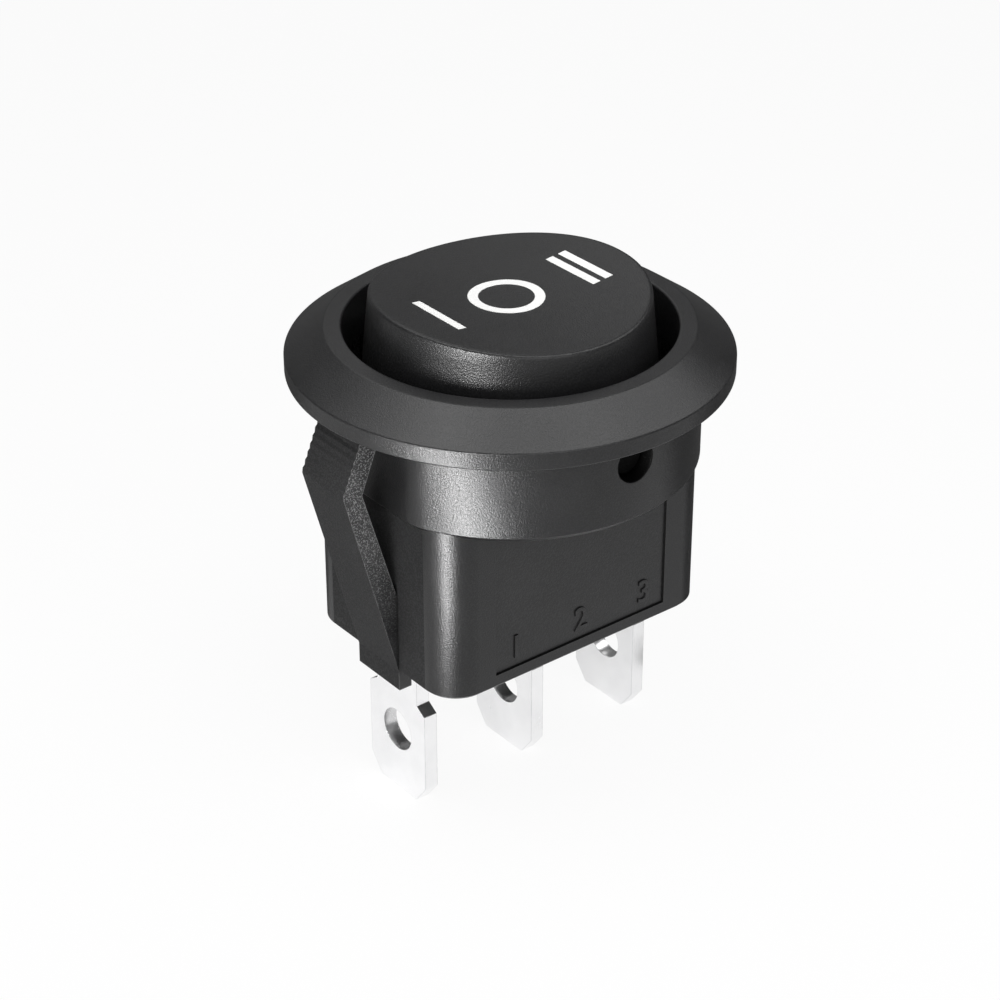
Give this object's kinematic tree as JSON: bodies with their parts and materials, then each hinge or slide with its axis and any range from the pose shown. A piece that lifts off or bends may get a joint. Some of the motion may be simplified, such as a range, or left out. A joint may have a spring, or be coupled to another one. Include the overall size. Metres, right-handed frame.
{
  "type": "three-position rocker switch",
  "caption": "Round snap-in rocker switch with a dished rocker that tilts to either side of an off middle, toothed side clips and a row of flat blade terminals.",
  "frame": {"origin": "centre of the flange's underside, where it rests on the front of the panel", "axes": "+Z out of the panel towards the finger, +X along the row of blades to the end marked with two bars, Y along the rocker's pivot"},
  "size_m": [0.0236, 0.023, 0.0276],
  "materials": {
    "housing_plastic": "black nylon, finely grained and satin",
    "rocker_plastic": "black nylon, finely grained and satin",
    "mark_paint": "white paint filled into the engraving",
    "plunger_plastic": "natural acetal, smooth",
    "spring_steel": "drawn wire",
    "lever_metal": "stamped, satin",
    "contact_silver": "silver, lightly tarnished",
    "plated_brass": "bright nickel plate on brass"
  },
  "bodies": {
    "base": {"housing": "housing_plastic", "common_terminal": "plated_brass", "terminal_one": "plated_brass", "terminal_two": "plated_brass", "fixed_contact_one": "contact_silver", "fixed_contact_two": "contact_silver"},
    "button": {"rocker": "rocker_plastic", "legend_one": "mark_paint", "legend_off": "mark_paint", "legend_two": "mark_paint", "spring": "spring_steel"},
    "pin": {"plunger": "plunger_plastic"},
    "lever": {"contact_lever": "lever_metal", "moving_contact_one": "contact_silver", "moving_contact_two": "contact_silver"}
  },
  "joints": [
    {"name": "rocker_tilt", "type": "hinge", "parent": "base", "child": "button", "pos_m": [0, 0, -0.00159], "axis": [0, 1, 0], "range_deg": [-12, 12]},
    {"name": "lever_tilt", "type": "hinge", "parent": "base", "child": "lever", "pos_m": [0, 0, -0.0096], "axis": [0, 1, 0], "range_deg": [-8, 8]},
    {"name": "plunger_slide", "type": "slide", "parent": "button", "child": "pin", "axis": [0, 0, 1], "range_m": [0, 0.0006], "stiffness_N_per_m": 2, "springref_m": -0.001, "deforming": ["spring"]}
  ],
  "couplings": [
    {"joint": "lever_tilt", "follows": "rocker_tilt", "ratio": -0.6666}
  ]
}
